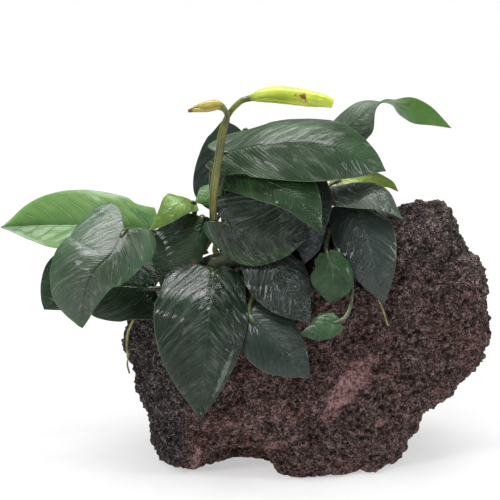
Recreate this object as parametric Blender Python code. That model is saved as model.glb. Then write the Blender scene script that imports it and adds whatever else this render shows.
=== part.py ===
"""Anubias on stone: a small broad-leaved aquarium plant grown onto a piece of lava rock.

Lengths are in millimetres up to MM, which turns them into metres. +X runs along the stone,
-Y is the planted face, +Z is up, and the stone rests on z = 0.
"""

import math

import bmesh
import bpy
import numpy as np
from mathutils import Vector, noise
from mathutils.bvhtree import BVHTree

MM = 0.001
GAP = 0.35  # clear space between neighbouring pieces

# The stone: its outline as radii every 12 degrees round STONE_CENTRE, seen from the front.
STONE_CENTRE = (25.0, 2.0, 46.0)
STONE_OUTLINE = (
    75, 79, 81, 81, 85, 65, 62, 59, 53, 50, 50, 51, 55, 62, 77,
    81, 76, 75, 80, 71, 60, 58, 60, 60, 62, 61, 60, 57, 57, 66,
)
STONE_DEPTH_FRONT = 43.0
STONE_DEPTH_BACK = 47.0
STONE_BOXINESS = 2.7
STONE_TRIANGLES = 2400
# Broken faces: outward direction and distance from the origin.
STONE_FACETS = (
    ((-0.31, -0.80, 1.00), 73.6),
    ((-0.74, -0.67, 0.00), 41.0),
    ((0.10, -1.00, 0.12), 41.0),
    ((0.55, -0.75, -0.30), 53.0),
    ((-0.30, 0.90, 0.45), 57.0),
    ((0.60, 0.75, 0.30), 86.0),
)
CAVE_CENTRE = (-6.0, -34.0)
CAVE_HALF = (17.0, 22.0)
CAVE_HEIGHT = 15.0

# The creeping stem and its thickness.
RHIZOME_PATH = ((-29, -13, 84), (-20, -14, 86), (-6, -14, 90), (8, -13, 94), (23, -12, 99), (37, -9, 104))
RHIZOME_RADIUS = 4.4
RHIZOME_RINGS = 11

# Leaves.
BLADE_THICKNESS = 0.8
PETIOLE_RADIUS = 1.15
BLADE_ROWS = 8
VEIN_SWEEP = 0.20
# Half outlines: share of the length (or of the lobe, where negative) and share of the half width.
OUTLINES = {
    "ovate": (
        (0.0, 0.0), (-0.55, 0.10), (-1.0, 0.34), (-0.62, 0.66), (0.10, 0.90), (0.27, 1.0),
        (0.45, 0.955), (0.62, 0.79), (0.78, 0.52), (0.90, 0.235), (0.965, 0.085), (1.0, 0.0),
    ),
    "oval": (
        (0.0, 0.0), (-0.55, 0.08), (-1.0, 0.24), (-0.6, 0.44), (0.06, 0.66), (0.20, 0.86),
        (0.36, 0.98), (0.52, 1.0), (0.68, 0.87), (0.82, 0.58), (0.93, 0.22), (1.0, 0.0),
    ),
    "blunt": (
        (0.0, 0.0), (-0.55, 0.10), (-1.0, 0.30), (-0.6, 0.55), (0.10, 0.78), (0.26, 0.94),
        (0.46, 1.0), (0.66, 0.98), (0.82, 0.84), (0.93, 0.55), (0.985, 0.24), (1.0, 0.0),
    ),
    "heart": (
        (0.0, 0.0), (-0.50, 0.12), (-1.0, 0.42), (-0.85, 0.78), (-0.10, 1.0), (0.20, 1.03),
        (0.45, 0.97), (0.65, 0.84), (0.82, 0.60), (0.93, 0.33), (0.985, 0.12), (1.0, 0.0),
    ),
    "lobed": (
        (0.0, 0.0), (-0.50, 0.15), (-1.0, 0.50), (-0.70, 0.92), (0.02, 1.04), (0.16, 0.92),
        (0.32, 0.80), (0.52, 0.68), (0.70, 0.49), (0.85, 0.27), (0.95, 0.10), (1.0, 0.0),
    ),
}
DARK = (0.020, 0.050, 0.024)
MID = (0.040, 0.110, 0.035)
BRIGHT = (0.120, 0.300, 0.060)
YELLOW = (0.400, 0.480, 0.060)

# Each leaf: spine from the petiole to the tip, the way its face looks at points spread along the
# spine, then for its left and right side twice the half width, basal lobe, fold, curl in degrees
# and half outline, then where its petiole leaves the stem (share along, degrees round from the
# top towards the front) with how far it bows out, and colour.
LEAVES = {
    "leaf_far_left": dict(
        spine=((-41, -4, 99), (-63, 0, 100), (-84, 2, 100), (-104, -2, 100)),
        faces=((0, -0.9, 0.42),), width=(34, 32), lobe=(2, 2), fold=(-35, 5), curl=(-20, 10),
        shape=("oval", "oval"), petiole=(0.03, -65, 4), colour=BRIGHT),
    "leaf_heart_left": dict(
        spine=((-51, -28, 104), (-55, -39, 98), (-62, -44, 92), (-66, -43, 81), (-67, -40, 68)),
        faces=((0.3, -0.38, 0.87), (0, -0.9, 0.4), (-0.1, -1, 0.1)), width=(29, 42), lobe=(9, 15),
        fold=(5, 10), curl=(20, 25), shape=("lobed", "heart"), petiole=(0.00, -34, 4), colour=MID),
    "leaf_low_left": dict(
        spine=((-40, -18, 78), (-53, -20, 80), (-69, -20, 80), (-85, -18, 69)),
        faces=((0.1, -0.8, 0.55),), width=(30, 42), lobe=(3, 3), fold=(10, 10), curl=(15, 15),
        shape=("ovate", "blunt"), petiole=(0.04, 100, 3), colour=DARK),
    "leaf_wet_left": dict(
        spine=((-19.5, -14, 107), (-22, -19.5, 98), (-27, -23, 87), (-35, -24, 76)),
        faces=((0, -0.9, 0.35),), width=(9.5, 37), lobe=(1, 1), fold=(10, 4), curl=(10, 8),
        shape=("ovate", "oval"), petiole=(0.15, 0, 3), colour=DARK),
    "leaf_front": dict(
        spine=((-15, -28, 87), (-16, -42, 78), (-18, -48, 59), (-20, -48, 32)),
        faces=((0.1, -0.8, 0.55), (0, -0.98, 0.2)), width=(33, 45), lobe=(6, 6), fold=(8, 8),
        curl=(12, 12), shape=("ovate", "ovate"), petiole=(0.24, 85, 1), colour=DARK),
    "leaf_centre": dict(
        spine=((-10, -22, 107), (0, -26, 103), (11, -28, 102), (23, -26, 101)),
        faces=((-0.6, -0.65, 0.5), (-0.2, -0.8, 0.6)), width=(42, 25), lobe=(8, 8), fold=(8, 8),
        curl=(12, 12), shape=("blunt", "ovate"), petiole=(0.38, 48, 2), colour=DARK),
    "leaf_upper_centre": dict(
        spine=((-8, -12, 125), (5, -24, 125), (18, -33, 120), (29, -36, 105)),
        faces=((0.1, -0.75, 0.65), (0.2, -0.9, 0.35)), width=(30, 17), lobe=(2, 2), fold=(8, 8),
        curl=(12, 12), shape=("ovate", "ovate"), petiole=(0.38, -10, 2), colour=MID),
    "leaf_top_large": dict(
        spine=((-11, -14, 134), (8, -21, 139), (34, -22, 138), (55, -16, 127)),
        faces=((0, -0.6, 0.8),), width=(42, 32), lobe=(8, 8), fold=(10, 12), curl=(15, 15),
        shape=("blunt", "oval"), petiole=(0.34, -38, 3), colour=MID),
    "leaf_back_left": dict(
        spine=((-3, 8, 138), (-7, 10, 130), (-11, 9, 116), (-13, 6, 104)),
        faces=((0, -0.95, 0.3),), width=(26, 28), lobe=(1, 1), fold=(8, 8), curl=(12, 12),
        shape=("blunt", "blunt"), petiole=(0.33, -90, 5), colour=DARK),
    "leaf_twisted_right": dict(
        spine=((37, 14, 133), (45, 12, 143), (55, 9, 151.5), (63, 6, 150.8), (72, 2, 148),
               (82.7, -2, 142)),
        faces=((-0.35, -0.75, 0.55), (-0.2, -0.5, 0.8), (0.1, 0.26, 0.97), (0.35, 0.8, 0.4),
               (0.35, 0.85, 0.3)),
        width=(24, 21), lobe=(2, 2), fold=(8, 8), curl=(10, 10), shape=("ovate", "ovate"),
        petiole=(0.80, -60, 4), colour=BRIGHT),
    "leaf_flat_right": dict(
        spine=((29, -8, 117), (41, -16, 120), (53, -20, 118), (62, -20, 108)),
        faces=((0, -0.3, 0.95), (0.3, -0.6, 0.75)), width=(16, 22), lobe=(3, 3), fold=(8, 8),
        curl=(12, 12), shape=("ovate", "ovate"), petiole=(0.84, -15, 2), colour=MID),
    "leaf_yellow_right": dict(
        spine=((36, 4, 118), (47, 6, 120), (57, 6, 118), (62, 4, 114)),
        faces=((0, -0.4, 0.9),), width=(14, 14), lobe=(3, 3), fold=(8, 8), curl=(12, 12),
        shape=("ovate", "ovate"), petiole=(0.90, -50, 2), colour=YELLOW),
    "leaf_right": dict(
        spine=((42, -14, 113), (46, -26, 104), (50, -32, 92), (54, -32, 75)),
        faces=((0.1, -0.85, 0.5), (0.1, -1, 0.1)), width=(26, 26), lobe=(2, 2), fold=(8, 8),
        curl=(12, 12), shape=("ovate", "ovate"), petiole=(0.96, 20, 2), colour=DARK),
    "leaf_small_round": dict(
        spine=((31, -32, 96), (33, -36, 91), (33, -38, 84), (32, -37, 77)),
        faces=((0.1, -0.9, 0.4),), width=(18, 18), lobe=(2, 2), fold=(8, 8), curl=(12, 12),
        shape=("oval", "oval"), petiole=(0.92, 85, 2), colour=MID),
    "leaf_small_curled": dict(
        spine=((35, -44, 72), (30, -46, 71), (25, -47, 69), (20, -47, 68)),
        faces=((0, -0.8, 0.6),), width=(11, 11), lobe=(1, 1), fold=(8, 8), curl=(12, 12),
        shape=("ovate", "ovate"), petiole=(0.97, 108, 5), colour=MID),
    "leaf_wet_centre": dict(
        spine=((8, -23, 95), (12, -32, 90), (18, -39, 80), (24, -43, 71)),
        faces=((0.2, -0.8, 0.6), (0.1, -0.95, 0.3)), width=(22, 30), lobe=(2, 2), fold=(8, 8),
        curl=(12, 12), shape=("ovate", "ovate"), petiole=(0.54, 70, 1), colour=DARK),
    "leaf_low_centre": dict(
        spine=((1, -39, 71), (7, -43, 67), (15, -47, 59), (24, -47, 49)),
        faces=((-0.1, -0.85, 0.5), (0, -0.98, 0.2)), width=(22, 27), lobe=(4, 4), fold=(8, 8),
        curl=(12, 12), shape=("ovate", "ovate"), petiole=(0.60, 108, 1), colour=DARK),
    "leaf_young_left": dict(
        spine=((-23.5, -11, 112.5), (-28, -18, 114), (-34, -20, 110), (-41, -16, 102)),
        faces=((0, -0.7, 0.7),), width=(10, 16), lobe=(1, 1), fold=(8, 8), curl=(12, 12),
        shape=("ovate", "ovate"), petiole=(0.08, -35, 3), colour=YELLOW),
    "leaf_shaded_right": dict(
        spine=((28, -19, 106), (26, -22, 102), (24, -24, 96), (22, -24, 90)),
        faces=((0, -0.8, 0.6),), width=(9, 16), lobe=(1, 2), fold=(8, 8), curl=(12, 12),
        shape=("ovate", "ovate"), petiole=(0.72, 50, 1), colour=DARK),
    "leaf_young_centre": dict(
        spine=((-12, 1, 112), (-16, -1, 114), (-19, -3, 113), (-23, -4, 111)),
        faces=((0, -0.8, 0.6),), width=(10, 11), lobe=(1, 1), fold=(8, 8), curl=(12, 12),
        shape=("ovate", "ovate"), petiole=(0.15, -60, 2), colour=BRIGHT),
    "leaf_shaded_centre": dict(
        spine=((9, 0, 109), (2, -3, 115), (-4, -5, 120), (-11, -6, 121)),
        faces=((0, -0.8, 0.6),), width=(26, 26), lobe=(3, 3), fold=(8, 8), curl=(12, 12),
        shape=("ovate", "ovate"), petiole=(0.62, -30, 2), colour=DARK),
    "leaf_narrow_right": dict(
        spine=((25, -15, 123), (26, -19, 118), (28, -23, 113), (31, -27, 107)),
        faces=((-0.3, -0.8, 0.5),), width=(14, 14), lobe=(2, 2), fold=(8, 8), curl=(12, 12),
        shape=("ovate", "ovate"), petiole=(0.74, -20, 2), colour=MID),
}

# Flower stems: where they leave the creeping stem, then centre line and radius at each point.
# The last points swell into the flower or the bud.
FLOWER_STEM = (
    (0.25, -10),
    ((-15.5, -13.2, 100), 1.2), ((-15.5, -15.5, 110), 1.2), ((-15, -20, 121), 1.2),
    ((-13, -21, 134), 1.2), ((-11.5, -21, 144), 1.2), ((-8.5, -20, 151), 1.2),
    ((-4, -20, 156), 1.2), ((0, -20, 157.5), 1.4), ((4, -20, 158.5), 2.7), ((9, -20, 159), 3.6),
    ((16, -20, 158.5), 3.8), ((23, -20, 157.5), 3.5), ((29, -20, 156.5), 2.9), ((33, -20, 155.5), 2.0),
)
BUD_STEM = (
    (0.31, 15),
    ((-13.5, -17, 100), 1.1), ((-14.5, -19.5, 109), 1.1), ((-14, -23.5, 121), 1.2),
    ((-12, -25, 134), 1.2), ((-10.5, -25, 144), 1.2), ((-9, -24.5, 150), 1.1),
    ((-10, -24, 153.5), 1.2), ((-13, -24, 155.5), 2.2), ((-17, -24, 155), 2.4),
    ((-21, -24, 154), 1.6), ((-24.5, -24, 153), 0.5),
)

# Roots: where each leaves the creeping stem, points over which it runs on the stone, its radius.
ROOTS = {
    "root_left": ((0.0, -100), ((-42, -12, 74), (-51, -8, 58), (-54, -8, 46), (-56, -10, 37)), 0.8),
    "root_front_left": ((0.08, 120), ((-30, -30, 70), (-32, -37, 58), (-33, -40, 44)), 0.7),
    "root_front_right": ((1.0, 75), ((45, -22, 90), (52, -32, 78), (56, -38, 66)), 0.7),
    "root_back": ((0.45, -110), ((-2, 6, 92), (-4, 24, 84), (-6, 40, 66)), 0.8),
    "root_back_right": ((0.85, -62), ((34, 10, 106), (40, 30, 92), (44, 44, 70)), 0.8),
}


def clear_scene():
    for obj in list(bpy.data.objects):
        bpy.data.objects.remove(obj, do_unlink=True)


def material(name, colour, roughness):
    found = bpy.data.materials.new(name)
    found.use_nodes = True
    shader = found.node_tree.nodes["Principled BSDF"]
    shader.inputs["Base Color"].default_value = (*colour, 1.0)
    shader.inputs["Roughness"].default_value = roughness
    shader.inputs["Metallic"].default_value = 0.0
    found.diffuse_color = (*colour, 1.0)
    return found


def unit(vectors):
    vectors = np.asarray(vectors, float)
    return vectors / np.maximum(np.linalg.norm(vectors, axis=-1, keepdims=True), 1e-9)


def smooth(points, share):
    """The Catmull-Rom curve through the points, at each share 0 to 1 of the way."""
    points = np.asarray(points, float)
    last = len(points) - 1
    ends = np.vstack([2 * points[0] - points[1], points, 2 * points[-1] - points[-2]])
    place = np.clip(np.atleast_1d(share), 0, 1) * last
    index = np.minimum(place.astype(int), last - 1)
    part = (place - index)[:, None]
    a, b, c, d = ends[index], ends[index + 1], ends[index + 2], ends[index + 3]
    square = 2 * a - 5 * b + 4 * c - d
    cube = 3 * b - a - 3 * c + d
    return 0.5 * (2 * b + (c - a) * part + square * part ** 2 + cube * part ** 3)


def object_from(bm, name):
    mesh = bpy.data.meshes.new(name)
    bmesh.ops.recalc_face_normals(bm, faces=bm.faces)
    bm.to_mesh(mesh)
    bm.free()
    obj = bpy.data.objects.new(name, mesh)
    bpy.context.scene.collection.objects.link(obj)
    return obj


def apply_modifiers(obj):
    """Gives the object its evaluated mesh, so that helpers can go."""
    graph = bpy.context.evaluated_depsgraph_get()
    mesh = bpy.data.meshes.new_from_object(obj.evaluated_get(graph))
    obj.modifiers.clear()
    obj.data = mesh


def outward(obj):
    bm = bmesh.new()
    bm.from_mesh(obj.data)
    bmesh.ops.triangulate(bm, faces=bm.faces)
    bmesh.ops.recalc_face_normals(bm, faces=bm.faces)
    if bm.calc_volume(signed=True) < 0:
        bmesh.ops.reverse_faces(bm, faces=bm.faces)
    bm.to_mesh(obj.data)
    bm.free()


def tube(name, path, radii, sides=6):
    """A closed tube along the path, whose rings turn as little as they can."""
    path = np.asarray(path, float)
    along = unit(np.gradient(path, axis=0))
    side = unit(np.cross(along[0], (0.31, 0.93, 0.17)))
    bm = bmesh.new()
    rings = []
    for centre, ahead, radius in zip(path, along, radii):
        side = unit(side - ahead * side.dot(ahead))
        over = np.cross(ahead, side)
        ring = []
        for step in range(sides):
            turn = 2 * math.pi * step / sides
            point = centre + radius * (math.cos(turn) * side + math.sin(turn) * over)
            ring.append(bm.verts.new(point * MM))
        rings.append(ring)
    for first, second in zip(rings, rings[1:]):
        for step in range(sides):
            after = (step + 1) % sides
            bm.faces.new((first[step], first[after], second[after], second[step]))
    bm.faces.new(rings[0][::-1])
    bm.faces.new(rings[-1])
    return object_from(bm, name)


class Blade:
    """The midrib, width and bending of one leaf blade."""

    def __init__(self, leaf):
        self.points = smooth(leaf["spine"], np.linspace(0, 1, 121))
        steps = np.linalg.norm(np.diff(self.points, axis=0), axis=1)
        self.run = np.concatenate([[0], np.cumsum(steps)])
        self.length = self.run[-1]
        self.along = unit(np.gradient(self.points, axis=0))
        self.faces = unit(leaf["faces"])
        self.half = np.array(leaf["width"], float) / 2
        self.lobe = np.array(leaf["lobe"], float)
        self.fold = np.radians(leaf["fold"])
        self.curl = np.radians(leaf["curl"])
        self.outlines = [OUTLINES[name] for name in leaf["shape"]]

    def frame(self, run):
        """Point, direction, face and right-hand direction at each distance along the midrib."""
        shape = run.shape
        run = run.ravel()
        inside = np.clip(run, 0, self.length)
        point = np.stack([np.interp(inside, self.run, self.points[:, k]) for k in range(3)], -1)
        along = np.stack([np.interp(inside, self.run, self.along[:, k]) for k in range(3)], -1)
        along = unit(along)
        point = point + along * np.minimum(run, 0)[:, None]
        if len(self.faces) > 1:
            face = smooth(self.faces, inside / self.length)
        else:
            face = np.repeat(self.faces, len(run), 0)
        face = unit(face - (face * along).sum(-1, keepdims=True) * along)
        right = np.cross(along, face)
        return [part.reshape(shape + (3,)) for part in (point, along, face, right)]

    def surface(self, rows, columns):
        """Points of the blade: rows from the base to the tip, across from the left margin."""
        across = np.linspace(-1, 1, 2 * columns + 1)
        share = np.linspace(0, 1, rows + 1)
        run = np.zeros((rows + 1, len(across)))
        wide = np.zeros((rows + 1, len(across)))
        for side, chosen in ((0, across <= 0), (1, across > 0)):
            margin = smooth(self.outlines[side], share)
            reach = np.where(margin[:, 0] < 0, self.lobe[side], self.length) * margin[:, 0]
            start = np.clip(reach - VEIN_SWEEP * self.length * margin[:, 1], 0, None)
            bend = np.abs(across[chosen])[None, :] ** 1.25
            run[:, chosen] = start[:, None] + (reach - start)[:, None] * bend
            wide[:, chosen] = margin[:, 1:2] * across[chosen][None, :] * self.half[side]
        side = (wide > 0).astype(int)
        fold = self.fold[side]
        bend = np.where(np.abs(self.curl) < 0.001, 0.001, self.curl)[side] / self.half[side]
        out = np.abs(wide)
        flat = (np.sin(fold + bend * out) - np.sin(fold)) / bend
        drop = (np.cos(fold) - np.cos(fold + bend * out)) / bend
        point, _, face, right = self.frame(run)
        return point + right * (np.sign(wide) * flat)[..., None] - face * drop[..., None]


def rhizome_frame(share):
    """Point on the creeping stem's centre line, and its direction."""
    point = smooth(RHIZOME_PATH, share)[0]
    ahead = smooth(RHIZOME_PATH, min(share + 0.02, 1.0))[0]
    behind = smooth(RHIZOME_PATH, max(share - 0.02, 0.0))[0]
    return point, unit(ahead - behind)


def rhizome_radius(share):
    """The stem tapers at its growing end and rounds off at the old one."""
    taper = min(1.0, 0.55 + 4.0 * share, 0.62 + 2.2 * (1.0 - share))
    return RHIZOME_RADIUS * taper


def leave_rhizome(share, turn):
    """Where a stalk leaves the creeping stem, and the way it sets off."""
    centre, along = rhizome_frame(share)
    up = unit(np.array((0.0, 0.0, 1.0)) - along * along[2])
    front = np.cross(along, up)
    turn = math.radians(turn)
    way = math.cos(turn) * up + math.sin(turn) * front
    return centre + way * (rhizome_radius(share) + GAP + 0.1), way


def petiole_path(leaf, blade):
    """From the stem's skin, out and round to just inside the blade's base."""
    share, turn, bow = leaf["petiole"]
    start, way = leave_rhizome(share, turn)
    base = blade.points[0]
    reach = np.linalg.norm(base - start)
    before = start + way * (0.25 * reach + bow * min(1.0, reach / 20))
    after = base - blade.along[0] * (0.22 * reach + 1.5) - blade.frame(np.zeros(1))[2][0] * 0.06 * reach
    steps = np.linspace(0, 1, max(4, min(8, round(reach / 4.0))))[:, None] ** 0.85
    curve = (
        (1 - steps) ** 3 * start
        + 3 * steps * (1 - steps) ** 2 * before
        + 3 * steps ** 2 * (1 - steps) * after
        + steps ** 3 * base
    )
    inside = blade.frame(np.array([2.2]))
    end = inside[0][0] - inside[2][0] * 0.3
    return np.vstack([curve[:1], start + way * 1.2, curve[1:], end])


def build_leaf(name, leaf):
    blade = Blade(leaf)
    columns = 2 if max(leaf["width"]) > 14 else 1
    rows = BLADE_ROWS if blade.length > 25 else BLADE_ROWS - 2
    grid = blade.surface(rows, columns)
    bm = bmesh.new()
    lines = [[bm.verts.new(point * MM) for point in row] for row in grid]
    for first, second in zip(lines, lines[1:]):
        for step in range(2 * columns):
            bm.faces.new((first[step], first[step + 1], second[step + 1], second[step]))
    bmesh.ops.remove_doubles(bm, verts=bm.verts, dist=0.02 * MM)
    bmesh.ops.dissolve_degenerate(bm, edges=bm.edges, dist=0.02 * MM)
    bmesh.ops.triangulate(bm, faces=bm.faces)
    obj = object_from(bm, name)
    solid = obj.modifiers.new("thickness", "SOLIDIFY")
    solid.thickness = BLADE_THICKNESS * MM
    solid.offset = 0.0
    apply_modifiers(obj)
    outward(obj)
    path = petiole_path(leaf, blade)
    radii = np.full(len(path), PETIOLE_RADIUS)
    radii[0] = PETIOLE_RADIUS * 1.25
    radii[-1] = PETIOLE_RADIUS * 0.7
    if blade.length < 25:
        radii = radii * 0.75
    stalk = tube(name + "_stalk", path, radii, sides=5)
    outward(stalk)
    stalk.hide_render = True
    stalk.display_type = "WIRE"
    join = obj.modifiers.new("petiole", "BOOLEAN")
    join.operation = "UNION"
    join.solver = "EXACT"
    join.use_self = True
    join.object = stalk
    apply_modifiers(obj)
    bpy.data.objects.remove(stalk, do_unlink=True)
    outward(obj)
    obj.data.materials.clear()
    obj.data.materials.append(material(name, leaf["colour"], 0.28))
    return obj


def stone_radius(angle):
    """The outline's radius at an angle, smoothed between its listed values."""
    place = (angle / (2 * math.pi) % 1.0) * len(STONE_OUTLINE)
    index = int(place)
    part = place - index
    part = part * part * (3 - 2 * part)
    first = STONE_OUTLINE[index % len(STONE_OUTLINE)]
    second = STONE_OUTLINE[(index + 1) % len(STONE_OUTLINE)]
    return first + (second - first) * part


def cut_back(point, centre, direction, distance, softness):
    """Moves a point beyond a plane back towards the centre, on to the plane."""
    over = point.dot(direction) - distance
    if over <= 0:
        return point
    reach = (point - centre).dot(direction)
    keep = distance - centre.dot(direction)
    return centre + (point - centre) * ((keep + over * softness) / reach)


def stone_point(way):
    centre = Vector(STONE_CENTRE)
    ring = math.hypot(way.x, way.z)
    angle = math.atan2(way.z, way.x)
    depth = STONE_DEPTH_FRONT if way.y < 0 else STONE_DEPTH_BACK
    scale = (ring ** STONE_BOXINESS + abs(way.y) ** STONE_BOXINESS) ** (-1 / STONE_BOXINESS)
    radius = stone_radius(angle)
    point = centre + Vector((way.x * radius, way.y * depth, way.z * radius)) * scale
    for facet, distance in STONE_FACETS:
        direction = Vector(facet).normalized()
        point = cut_back(point, centre, direction, distance, 0.12)
    away = (point - centre).normalized()
    lumps = noise.fractal(point / 26.0, 1.0, 2.2, 3) * 3.4
    crumbs = noise.fractal(point / 9.0 + Vector((7.0, 3.0, 1.0)), 1.0, 2.0, 3) * 1.5
    pits = noise.noise(point / 6.0 + Vector((1.0, 9.0, 4.0)))
    point = point + away * (lumps + crumbs - 2.2 * max(0.0, pits - 0.28) - 0.8)
    rise_x = (point.x - CAVE_CENTRE[0]) / CAVE_HALF[0]
    rise_y = (point.y - CAVE_CENTRE[1]) / CAVE_HALF[1]
    rise = max(0.0, 1.0 - rise_x ** 2 - rise_y ** 2)
    floor = CAVE_HEIGHT * math.sqrt(rise) + 0.15 * noise.noise(point / 5.0) * rise
    if point.z < floor:
        point = centre + (point - centre) * ((floor - centre.z) / (point.z - centre.z))
    return point


def build_stone():
    bm = bmesh.new()
    bmesh.ops.create_icosphere(bm, subdivisions=6, radius=1.0)
    stem = smooth(RHIZOME_PATH, np.linspace(0, 1, 60))
    centre = Vector(STONE_CENTRE)
    for vert in bm.verts:
        point = stone_point(vert.co.normalized())
        away = np.array(point) - stem
        near = np.linalg.norm(away, axis=1)
        lack = RHIZOME_RADIUS + GAP + 0.5 - near.min()
        if lack > 0:
            point = point + (centre - point).normalized() * lack * 1.15
        vert.co = point * MM
    obj = object_from(bm, "lava_rock")
    ratio = STONE_TRIANGLES / len(obj.data.polygons)
    fewer = obj.modifiers.new("facets", "DECIMATE")
    fewer.ratio = ratio
    apply_modifiers(obj)
    for vert in obj.data.vertices:
        if vert.co.z < 0.12 * MM:
            vert.co.z = 0.0
    outward(obj)
    obj.data.materials.append(material("lava_rock", (0.055, 0.030, 0.028), 0.9))
    return obj


def build_rhizome():
    shares = np.linspace(0, 1, 2 * RHIZOME_RINGS + 1)
    path = smooth(RHIZOME_PATH, shares)
    radii = []
    for index, share in enumerate(shares):
        ring = 1.0 if index % 2 == 0 else 0.93
        radii.append(rhizome_radius(share) * ring)
    obj = tube("rhizome", path, radii, sides=8)
    outward(obj)
    obj.data.materials.append(material("rhizome", (0.060, 0.075, 0.025), 0.5))


def build_flower(name, points, colour):
    (share, turn), points = points[0], points[1:]
    start, way = leave_rhizome(share, turn)
    places = [start, start + way * 2.0] + [point for point, _ in points]
    thick = [(1.4,), (1.2,)] + [(radius,) for _, radius in points]
    shares = np.linspace(0, 1, len(places) + 6)
    path = smooth(places, shares)
    obj = tube(name, path, smooth(thick, shares)[:, 0], sides=7)
    outward(obj)
    obj.data.materials.append(material(name, colour, 0.35))


def build_root(name, leaving, points, radius, stone):
    """Lays a root on the stone: each of its points is moved clear of the nearest face."""
    start, way = leave_rhizome(*leaving)
    path = smooth([start + way * 1.2] + list(points), np.linspace(0, 1, 12))
    path = np.vstack([start, path])
    clear = radius + GAP + 0.65
    for _ in range(6):
        path[2:-1] = (path[1:-2] + 2 * path[2:-1] + path[3:]) / 4
        for index in range(2, len(path)):
            spot, normal, _, _ = stone.find_nearest(Vector(path[index]) * MM)
            spot = np.array(spot) / MM
            normal = np.array(normal)
            height = (path[index] - spot).dot(normal)
            if height < clear or height > clear + 0.3:
                path[index] = spot + normal * clear
    obj = tube(name, path, np.linspace(radius, radius * 0.6, len(path)), sides=4)
    outward(obj)
    obj.data.materials.append(material(name, (0.30, 0.28, 0.12), 0.5))


def build():
    clear_scene()
    stone = build_stone()
    surface = BVHTree.FromPolygons(
        [vert.co for vert in stone.data.vertices],
        [tuple(face.vertices) for face in stone.data.polygons],
    )
    build_rhizome()
    for name, leaf in LEAVES.items():
        build_leaf(name, leaf)
    build_flower("flower_stem", FLOWER_STEM, (0.42, 0.52, 0.08))
    build_flower("bud_stem", BUD_STEM, (0.30, 0.34, 0.08))
    for name, (leaving, points, radius) in ROOTS.items():
        build_root(name, leaving, points, radius, surface)


build()
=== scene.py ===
"""Looks of the anubias on stone: fine leaves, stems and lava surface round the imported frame."""

import math

import bmesh
import bpy
import numpy as np
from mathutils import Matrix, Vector, noise
from mathutils.bvhtree import BVHTree


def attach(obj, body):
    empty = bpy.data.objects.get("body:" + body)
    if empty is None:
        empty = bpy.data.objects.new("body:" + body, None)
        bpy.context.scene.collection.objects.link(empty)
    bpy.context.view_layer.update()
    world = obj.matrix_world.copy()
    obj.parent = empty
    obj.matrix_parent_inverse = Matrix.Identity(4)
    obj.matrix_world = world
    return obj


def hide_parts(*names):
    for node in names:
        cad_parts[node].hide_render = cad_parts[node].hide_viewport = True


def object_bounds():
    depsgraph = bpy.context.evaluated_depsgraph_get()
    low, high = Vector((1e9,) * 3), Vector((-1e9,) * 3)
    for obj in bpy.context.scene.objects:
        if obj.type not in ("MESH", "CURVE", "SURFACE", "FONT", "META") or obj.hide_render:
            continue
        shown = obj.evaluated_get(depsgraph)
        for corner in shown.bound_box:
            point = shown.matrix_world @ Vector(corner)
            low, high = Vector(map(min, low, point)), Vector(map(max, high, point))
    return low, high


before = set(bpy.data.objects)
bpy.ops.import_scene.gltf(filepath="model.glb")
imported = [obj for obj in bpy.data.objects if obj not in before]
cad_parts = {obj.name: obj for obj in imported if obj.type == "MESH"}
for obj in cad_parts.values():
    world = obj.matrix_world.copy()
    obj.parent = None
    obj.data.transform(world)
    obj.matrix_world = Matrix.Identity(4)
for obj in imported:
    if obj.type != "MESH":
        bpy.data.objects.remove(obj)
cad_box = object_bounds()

MM = 0.001

# --- Shape numbers shared with the solids (millimetres) ---

RHIZOME_PATH = ((-29, -13, 84), (-20, -14, 86), (-6, -14, 90), (8, -13, 94), (23, -12, 99), (37, -9, 104))
RHIZOME_RADIUS = 4.4
GAP = 0.35
PETIOLE_RADIUS = 1.15
VEIN_SWEEP = 0.2

OUTLINES = {
    "ovate": (
        (0.0, 0.0), (-0.55, 0.1), (-1.0, 0.34), (-0.62, 0.66), (0.1, 0.9), (0.27, 1.0),
        (0.45, 0.955), (0.62, 0.79), (0.78, 0.52), (0.9, 0.235), (0.965, 0.085), (1.0, 0.0),
    ),
    "oval": (
        (0.0, 0.0), (-0.55, 0.08), (-1.0, 0.24), (-0.6, 0.44), (0.06, 0.66), (0.2, 0.86),
        (0.36, 0.98), (0.52, 1.0), (0.68, 0.87), (0.82, 0.58), (0.93, 0.22), (1.0, 0.0),
    ),
    "blunt": (
        (0.0, 0.0), (-0.55, 0.1), (-1.0, 0.3), (-0.6, 0.55), (0.1, 0.78), (0.26, 0.94),
        (0.46, 1.0), (0.66, 0.98), (0.82, 0.84), (0.93, 0.55), (0.985, 0.24), (1.0, 0.0),
    ),
    "heart": (
        (0.0, 0.0), (-0.5, 0.12), (-1.0, 0.42), (-0.85, 0.78), (-0.1, 1.0), (0.2, 1.03),
        (0.45, 0.97), (0.65, 0.84), (0.82, 0.6), (0.93, 0.33), (0.985, 0.12), (1.0, 0.0),
    ),
    "lobed": (
        (0.0, 0.0), (-0.5, 0.15), (-1.0, 0.5), (-0.7, 0.92), (0.02, 1.04), (0.16, 0.92),
        (0.32, 0.8), (0.52, 0.68), (0.7, 0.49), (0.85, 0.27), (0.95, 0.1), (1.0, 0.0),
    ),
}
LEAF = dict(lobe=(2, 2), fold=(8, 8), curl=(12, 12), shape=("ovate", "ovate"))
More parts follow.
